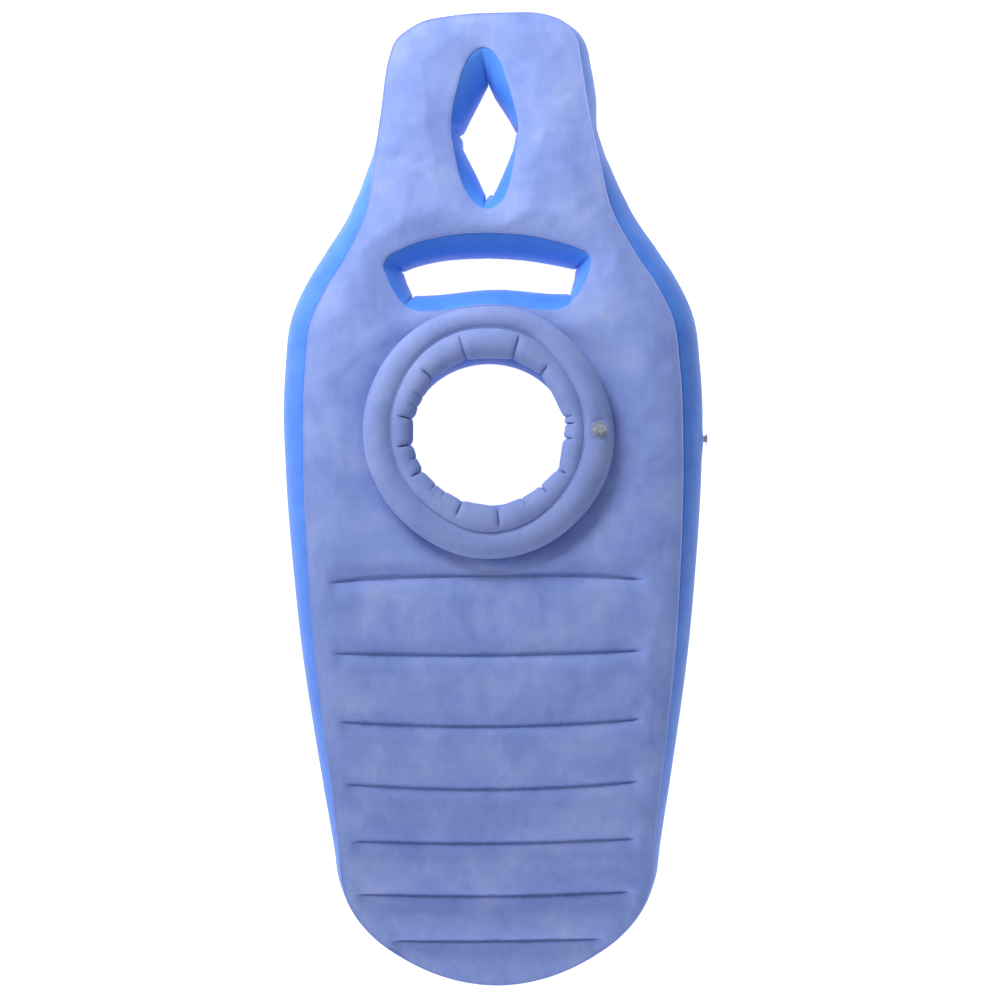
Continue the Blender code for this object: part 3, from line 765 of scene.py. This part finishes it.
groove = valleys(SLOT, [((0.1848, 0.4480), 0.011, 0.0034), ((0.1399, 0.3571), 0.006, 0.0030),
                        ((-0.1600, 0.3590), 0.008, 0.0030), ((-0.2005, 0.4400), 0.012, 0.0034)])
target = by_folds(SLOT, SLOT_FOLDS, SLOT_GAP)
slot_wall = hole_wall("chest_slot_wall_smooth", "chest_slot_wall", SLOT, target, groove, SEAT)

# %% Belly hole wall
target = (-0.008, 0.1215) + (BELLY - BELLY_CENTRE) / BELLY_RADIUS * (0.1495, 0.1340)
belly_wall = hole_wall("belly_hole_wall_smooth", "belly_hole_wall", BELLY, target,
                       np.zeros(len(BELLY)), SEAT, material=VINYL)

# %% [markdown]
# ## The air ring
# A second, flocked tube is welded round the belly hole from two bands. The outer band is smooth. The
# inner band has to follow a shorter way round than it was cut for, so it gathers into pleats, and
# between two pleats it is pulled straight. Each band is an arc from its foot to the seam, worked out
# column by column.

# %% Ring outlines
RING_COLUMNS = 1200
SEAM_Z = 0.2335
OUTER_EDGE = [   # where the ring is widest
    (-0.005, 0.349), (0.044, 0.344), (0.090, 0.328), (0.125, 0.305), (0.153, 0.278), (0.181, 0.242),
    (0.204, 0.203), (0.219, 0.166), (0.226, 0.125), (0.2235, 0.081), (0.2112, 0.037), (0.187, -0.007),
    (0.151, -0.047), (0.107, -0.080), (0.059, -0.100), (0.007, -0.108), (-0.045, -0.106),
    (-0.097, -0.0895), (-0.144, -0.061), (-0.185, -0.022), (-0.2165, 0.028), (-0.235, 0.076),
    (-0.2413, 0.1245), (-0.2365, 0.170), (-0.221, 0.218), (-0.193, 0.264), (-0.155, 0.302),
    (-0.107, 0.331), (-0.0555, 0.346),
]
SEAM_EDGE = [
    (-0.005, 0.3149), (0.034, 0.3110), (0.069, 0.297), (0.1004, 0.272), (0.1277, 0.2413),
    (0.149, 0.2062), (0.1625, 0.170), (0.1678, 0.1289), (0.165, 0.0885), (0.153, 0.050),
    (0.131, 0.0130), (0.1025, -0.0185), (0.0670, -0.0435), (0.0293, -0.0585), (-0.0074, -0.0634),
    (-0.0441, -0.0583), (-0.0807, -0.0433), (-0.1172, -0.0191), (-0.149, 0.0125), (-0.1730, 0.0513),
    (-0.186, 0.0918), (-0.1893, 0.1322), (-0.1853, 0.1689), (-0.1735, 0.2040), (-0.1552, 0.2384),
    (-0.1292, 0.2690), (-0.0959, 0.2935), (-0.0553, 0.310),
]
GAP_EDGE = [   # the ring's opening, straight between its corners
    (-0.0045, 0.2593), (0.0177, 0.2590), (0.0416, 0.2555), (0.0692, 0.2405), (0.0911, 0.2255),
    (0.1115, 0.1910), (0.1290, 0.1530), (0.1325, 0.1452), (0.1312, 0.1398), (0.1330, 0.1262),
    (0.1302, 0.1179), (0.1312, 0.1082), (0.1285, 0.1036), (0.1215, 0.0600), (0.1176, 0.0535),
    (0.0968, 0.0330), (0.0738, 0.0141), (0.0579, 0.0047), (0.0084, -0.0147), (-0.0394, -0.0068),
    (-0.0617, -0.0013), (-0.0978, 0.0199), (-0.1050, 0.0268), (-0.1281, 0.0506), (-0.1407, 0.0745),
    (-0.1481, 0.1007), (-0.1479, 0.1205), (-0.1474, 0.1428), (-0.1381, 0.1710), (-0.1246, 0.1944),
    (-0.1045, 0.2244), (-0.0785, 0.2434), (-0.0489, 0.2564), (-0.0266, 0.2590),
]
PLEATS = [   # degrees from the right side, depth in metres, how far up towards the seam it runs
    (106.5, 0.0052, 0.96), (71.8, 0.0062, 0.96), (136, 0.0062, 0.83), (48.2, 0.0062, 0.82),
    (169.1, 0.0075, 0.88), (188.3, 0.0078, 0.90), (209.2, 0.0072, 0.86), (248.1, 0.0062, 0.87),
    (275.8, 0.0068, 0.93), (296.6, 0.0024, 0.76), (313.6, 0.0055, 0.82), (331.5, 0.0072, 0.87),
    (5.8, 0.0062, 0.84), (11.2, 0.0046, 0.80), (355.4, 0.0046, 0.80), (151, 0.0024, 0.77),
    (223.8, 0.0022, 0.75), (233, 0.0020, 0.74), (159.5, 0.0018, 0.76), (198.5, 0.0018, 0.76),
]
angles = math.pi / 2 - 2 * math.pi * np.arange(RING_COLUMNS) / RING_COLUMNS


def ray_to(outline, centre):
    """Where the ring's columns, as rays from the belly hole's middle, meet a closed outline."""
    offset = outline - centre
    turn = np.unwrap(np.arctan2(offset[:, 1], offset[:, 0]))
    order = np.argsort(turn)
    turn, far = turn[order], np.linalg.norm(offset, axis=1)[order]
    turn = np.concatenate([turn - 2 * math.pi, turn, turn + 2 * math.pi])
    far = np.tile(far, 3)
    wrapped = np.arctan2(np.sin(angles), np.cos(angles))
    return np.interp(wrapped, turn, far)


gap_radius = ray_to(even(np.array(GAP_EDGE), 1600), BELLY_CENTRE)
gap_radius = sum(np.roll(gap_radius, k) for k in range(-3, 4)) / 7
ray = np.column_stack([np.cos(angles), np.sin(angles)])
seam_radius = ray_to(closed_curve(SEAM_EDGE, 1200), BELLY_CENTRE)
foot_radius = ray_to(closed_curve(OUTER_EDGE, 1200), BELLY_CENTRE) - 0.0069
print("ring opening radius, mm:", round(gap_radius.min() / MM), "to", round(gap_radius.max() / MM))


# %% Ring bands
def swept_arc(start_r, start_z, end_r, end_z, bow, steps):
    """Rows of a circular arc from start to end for every column, bowed to the left of its chord."""
    start, end = np.column_stack([start_r, start_z]), np.column_stack([end_r, end_z])
    chord = end - start
    half = np.linalg.norm(chord, axis=1) / 2
    left = np.column_stack([-chord[:, 1], chord[:, 0]]) / (2 * half)[:, None]
    radius = (half**2 + bow**2) / (2 * bow)
    centre = (start + end) / 2 + left * (bow - radius)[:, None]
    first = np.arctan2(start[:, 1] - centre[:, 1], start[:, 0] - centre[:, 0])
    sweep = -2 * np.arctan2(half, radius - bow)
    rows = []
    for t in np.linspace(0, 1, steps + 1):
        turn = first + sweep * t
        rows.append((np.column_stack([np.cos(turn), np.sin(turn)]), centre, radius, t))
    return rows


def bow_that_reaches(start_r, start_z, end_r, end_z, nearest_r):
    """The bow that brings each column's arc in to its nearest radius, by halving the interval."""
    chord = np.column_stack([end_r - start_r, np.full(RING_COLUMNS, end_z - start_z)])
    half = np.linalg.norm(chord, axis=1) / 2
    least, most = np.full(RING_COLUMNS, 0.002), np.full(RING_COLUMNS, 0.090)
    for _ in range(40):
        bow = (least + most) / 2
        radius = (half**2 + bow**2) / (2 * bow)
        centre_r = (start_r + end_r) / 2 - chord[:, 1] / (2 * half) * (bow - radius)
        too_far = centre_r - radius < nearest_r
        most, least = np.where(too_far, bow, most), np.where(too_far, least, bow)
    return bow


def pleat_depth(t):
    """How far the pleats draw each column in, at t from the inner foot to the seam."""
    depth = np.zeros(RING_COLUMNS)
    for degrees, deepest, reach in PLEATS:
        apart = np.arctan2(np.sin(angles - math.radians(degrees)), np.cos(angles - math.radians(degrees)))
        along = apart * 0.150
        fade = smooth((reach - t) / 0.14) * smooth(t / 0.15)
        depth += deepest * (np.exp(-(along / 0.0016) ** 2) + 0.35 * np.exp(-(along / 0.0060) ** 2)) * fade
    return depth


def ring_band(name, node, rows, depth, valve=None):
    stack = []
    for turn, centre, radius, t in rows:
        profile = centre + turn * (radius - depth(t))[:, None]
        stack.append(np.column_stack([BELLY_CENTRE + ray * profile[:, :1], profile[:, 1]]))
    points, faces = band(stack, flip=True)
    if valve:
        points = flat_for_valve(points, valve, 0.0155, 0.027)
    return piece(name, points, faces, RING_FLOCK, "flocked_vinyl", node, thickness=SKIN)


ring_foot = SEAT + 0.0008
ones = np.ones(RING_COLUMNS)
inner_foot = 0.1665 * ones
bow = bow_that_reaches(inner_foot, ring_foot, seam_radius - 0.0008, SEAM_Z, gap_radius)
inner_rows = swept_arc(inner_foot, ring_foot * ones, seam_radius - 0.0008, SEAM_Z * ones, bow, 30)
outer_rows = swept_arc(seam_radius, SEAM_Z * ones, foot_radius, ring_foot * ones, 0.027 * ones, 28)
ring_inner = ring_band("ring_inner_band_pleated", "ring_inner_band", inner_rows, pleat_depth)
ring_outer = ring_band("ring_outer_band_flocked", "ring_outer_band", outer_rows,
                       lambda t: np.zeros(RING_COLUMNS), valve="ring")

# %% [markdown]
# ## Weld lips
# Where two sheets are welded, hot bars press them into a flat lip a few millimetres wide, which
# shows as a thin pale line. The lip follows its seam, so Geometry Nodes sweep a rounded strip along
# each seam.


# %% Weld lip tree
def lip_tree():
    tree = bpy.data.node_groups.new("weld_lip", "GeometryNodeTree")
    tree.interface.new_socket("Geometry", in_out="INPUT", socket_type="NodeSocketGeometry")
    for name, default in (("Lip width", 0.0035), ("Lip thickness", 0.0010), ("Tilt", 0.0)):
        tree.interface.new_socket(name, in_out="INPUT", socket_type="NodeSocketFloat").default_value = default
    tree.interface.new_socket("Vinyl", in_out="INPUT", socket_type="NodeSocketMaterial")
    tree.interface.new_socket("Geometry", in_out="OUTPUT", socket_type="NodeSocketGeometry")
    given = add(tree, "NodeGroupInput").outputs
    path = add(tree, "GeometryNodeMeshToCurve", {"Mesh": given["Geometry"]})
    level = add(tree, "GeometryNodeSetCurveNormal", {"Curve": path.outputs["Curve"]}, mode="Z_UP")
    turned = add(tree, "GeometryNodeSetCurveTilt", {"Curve": level.outputs["Curve"], "Tilt": given["Tilt"]})
    outline = add(tree, "GeometryNodeCurvePrimitiveCircle", {"Resolution": 10, "Radius": 0.5})
    size = add(tree, "ShaderNodeCombineXYZ", {"X": given["Lip width"], "Y": given["Lip thickness"], "Z": 1.0})
    strip = add(tree, "GeometryNodeTransform", {
        "Geometry": outline.outputs["Curve"], "Scale": size.outputs["Vector"]})
    swept = add(tree, "GeometryNodeCurveToMesh", {
        "Curve": turned.outputs["Curve"], "Profile Curve": strip.outputs["Geometry"]})
    real = add(tree, "GeometryNodeRealizeInstances", {"Geometry": swept.outputs["Mesh"]})
    dressed = add(tree, "GeometryNodeSetMaterial", {
        "Geometry": real.outputs["Geometry"], "Material": given["Vinyl"]})
    add(tree, "NodeGroupOutput", {0: dressed.outputs["Geometry"]})
    return tree


LIP_TREE = lip_tree()


# %% Weld lips
def lip(name, path, width, thickness, tilt=0, material=LIP_VINYL):
    """A lip swept along a closed path, tilted by so many degrees, then kept as a plain mesh."""
    path = leaned(path)
    mesh = bpy.data.meshes.new(name)
    mesh.from_pydata(path.tolist(), [(i, (i + 1) % len(path)) for i in range(len(path))], [])
    source = placed(name, mesh)
    sweep = source.modifiers.new("lip", "NODES")
    sweep.node_group = LIP_TREE
    wanted = {"Lip width": width, "Lip thickness": thickness, "Tilt": math.radians(tilt),
              "Vinyl": material}
    for item in LIP_TREE.interface.items_tree:
        if item.in_out == "INPUT" and item.name in wanted:
            sweep[item.identifier] = wanted[item.name]
    ready = source.evaluated_get(bpy.context.evaluated_depsgraph_get())
    solid = bpy.data.meshes.new_from_object(ready)
    solid.name = name
    source.modifiers.remove(sweep)
    source.data = solid
    faces_outward(solid)
    solid.shade_smooth()
    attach(source, "root")
    print(name + ":", len(solid.vertices), "points")


def raised(loop, height, grow=0.0):
    return np.column_stack([loop + outward(loop) * grow, height])


rim_top = raised(RIM, rim_height(RIM[:, 1]) + 0.0002, -0.0006)
lip("weld_lip_rim_top", rim_top, 0.0032, 0.0010)
lip("weld_lip_rim_bottom", raised(RIM, rim_floor(RIM[:, 1]) + 0.0006, -0.0006), 0.0042, 0.0011)
for name, loop in (("face_hole", FACE), ("chest_slot", SLOT), ("belly_hole", BELLY)):
    lip(f"weld_lip_{name}_top", raised(loop, np.full(len(loop), SEAT + 0.0001), 0.0008), 0.0020, 0.0009)
    lip(f"weld_lip_{name}_bottom", raised(loop, np.full(len(loop), 0.0086), 0.0006), 0.0040, 0.0011)
seam_path = np.column_stack([BELLY_CENTRE + ray * seam_radius[:, None], (SEAM_Z + 0.0011) * ones])
lip("weld_lip_ring_seam", seam_path, 0.0034, 0.0012, 30, RING_FLOCK)
foot_path = np.column_stack([BELLY_CENTRE + ray * foot_radius[:, None], np.full(RING_COLUMNS, ring_foot)])
lip("weld_lip_ring_foot", foot_path, 0.0034, 0.0010, 0, RING_FLOCK)

# %% [markdown]
# ## The valves
# Each valve is moulded from clear soft PVC: a flange welded to the skin, a stem that is pressed in
# to let air out, a plug, and a strap that keeps the plug on the stem. Round parts are turned from
# a profile.


# %% Valve profiles, in millimetres from the axis and up it
BASE_PROFILE = [
    (6.6, -8.0), (8.2, -8.0), (8.2, 0.4), (14.6, 0.4), (15.0, 0.7), (15.0, 1.0), (14.6, 1.3),
    (13.9, 1.35), (13.4, 1.7), (12.9, 1.75), (12.4, 1.4), (10.2, 1.45), (9.4, 1.7), (8.9, 2.0),
    (7.0, 2.0), (6.6, 1.7),
]
STEM_PROFILE = [
    (4.0, -16.0), (6.0, -16.0), (6.2, -15.7), (6.2, 6.4), (6.5, 6.9), (7.6, 7.2), (8.0, 7.5),
    (8.0, 8.0), (7.7, 8.3), (4.6, 8.3), (4.0, 7.8),
]
PLUG_PROFILE = [
    (0.0, 5.9), (3.2, 5.9), (3.7, 6.3), (3.85, 6.8), (3.7, 7.3), (3.7, 8.3), (4.2, 8.6),
    (6.6, 8.6), (7.0, 8.9), (7.0, 9.8), (6.6, 10.3), (5.6, 10.4), (4.8, 10.05), (2.0, 10.2),
    (0.0, 10.4),
]
TURNS = 48


def rounded(profile, closed):
    """Points and faces of a profile turned about the axis, in metres."""
    profile = np.array(profile) * MM
    turn = 2 * math.pi * np.arange(TURNS) / TURNS
    rings = [np.column_stack([r * np.cos(turn), r * np.sin(turn), np.full(TURNS, z)]) for r, z in profile]
    if closed:
        return band(rings + rings[:1])
    points, faces = band(rings[1:-1])
    last = len(points)
    points = np.vstack([points, (0, 0, profile[0, 1]), (0, 0, profile[-1, 1])])
    top = last - TURNS
    for i in range(TURNS):
        j = (i + 1) % TURNS
        faces += [(last, j, i), (last + 1, top + i, top + j)]
    return points, faces


def pull_tab():
    """A rounded tab on the plug's far side from the strap, its top and bottom bevelled."""
    outline = [(4.0, -2.6), (9.2, -2.6), (10.4, -1.9), (10.8, 0.0), (10.4, 1.9), (9.2, 2.6), (4.0, 2.6)]
    rows = [[(x * k, y * k, z) for x, y in outline] for k, z in
            ((0.96, 8.8), (1.0, 9.0), (1.0, 9.9), (0.96, 10.1))]
    count = len(outline)
    faces = [tuple(range(count))[::-1], tuple(range(3 * count, 4 * count))]
    for r in range(3):
        for i in range(count):
            j = (i + 1) % count
            faces.append((r * count + i, r * count + j, (r + 1) * count + j, (r + 1) * count + i))
    return np.array(rows).reshape(-1, 3) * MM, faces


def strap_loop():
    """A flat strap from the stem's lip, out and back to the plug's head."""
    route = []
    for k in range(25):
        turn = math.pi * (k / 24 - 0.5)
        route.append((-0.0072 - 0.0060 * math.cos(turn), 0.0088 + 0.0012 * math.sin(turn)))
    points, faces = [], []
    for k, (x, z) in enumerate(route):
        wide = 0.0021 + 0.0006 * math.sin(math.pi * k / 24)
        before, after = route[max(k - 1, 0)], route[min(k + 1, 24)]
        along = np.array([after[0] - before[0], after[1] - before[1]])
        off = np.array([-along[1], along[0]]) / np.linalg.norm(along) * 0.0004
        points += [(x + side * off[0], y, z + side * off[1]) for side, y in
                   ((-1, -wide), (1, -wide), (1, wide), (-1, wide))]
        if k:
            for i in range(4):
                j = (i + 1) % 4
                faces.append((4 * k - 4 + i, 4 * k - 4 + j, 4 * k + j, 4 * k + i))
    faces += [(3, 2, 1, 0), (96, 97, 98, 99)]
    return np.array(points), faces


def joined(*shapes):
    """Several shapes as one list of points and one of faces."""
    points, faces = [], []
    for more, its_faces in shapes:
        faces += [tuple(i + len(points) for i in face) for face in its_faces]
        points += [tuple(p) for p in more]
    return np.array(points), faces


# %% Valves
SHARP = math.radians(40)
WELD_RING = [(12.6, 0.2), (15.9, 0.2), (16.1, 0.5), (15.9, 0.8), (15.2, 0.9), (12.6, 0.9)]


def valve(prefix, ring_finish, ring_slot):
    origin, axes = valve_place(prefix)
    parts = {
        "base_flanged": (rounded(BASE_PROFILE, True), "base", "root"),
        "stem_tube": (rounded(STEM_PROFILE, True), "stem", prefix + "_stem"),
        "plug_tabbed": (joined(rounded(PLUG_PROFILE, False), pull_tab()), "plug", prefix + "_plug"),
        "strap_loop": (strap_loop(), "strap", None),
    }
    made = {}
    for name, ((points, faces), node, body) in parts.items():
        made[name] = piece(f"{prefix}_valve_{name}", origin + points @ axes, faces, CLEAR, "clear_vinyl",
                           f"{prefix}_valve_{node}", body=body, lean=False)
        faces_outward(made[name].data)
        made[name].data.set_sharp_from_angle(angle=SHARP)
    points, faces = rounded(WELD_RING, True)
    seat = piece(f"{prefix}_valve_weld_ring", origin + points @ axes, faces, ring_finish, ring_slot,
                 lean=False)
    faces_outward(seat.data)
    seat.data.set_sharp_from_angle(angle=SHARP)
    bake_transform(made["strap_loop"])


valve("main", LIP_VINYL, "smooth_vinyl")
valve("ring", RING_FLOCK, "flocked_vinyl")

# %% [markdown]
# ## Carried-over pieces
# The inner strips and the valves' flaps keep their measured shapes, and only take a finish.

# %% Finishes of kept nodes
for name, node_object in frame["nodes"].items():
    finish = STRIP_VINYL if name.startswith("tension_strip") else CLEAR
    if not node_object.hide_render:
        node_object.data.materials.clear()
        node_object.data.materials.append(finish)
print("kept nodes dressed")
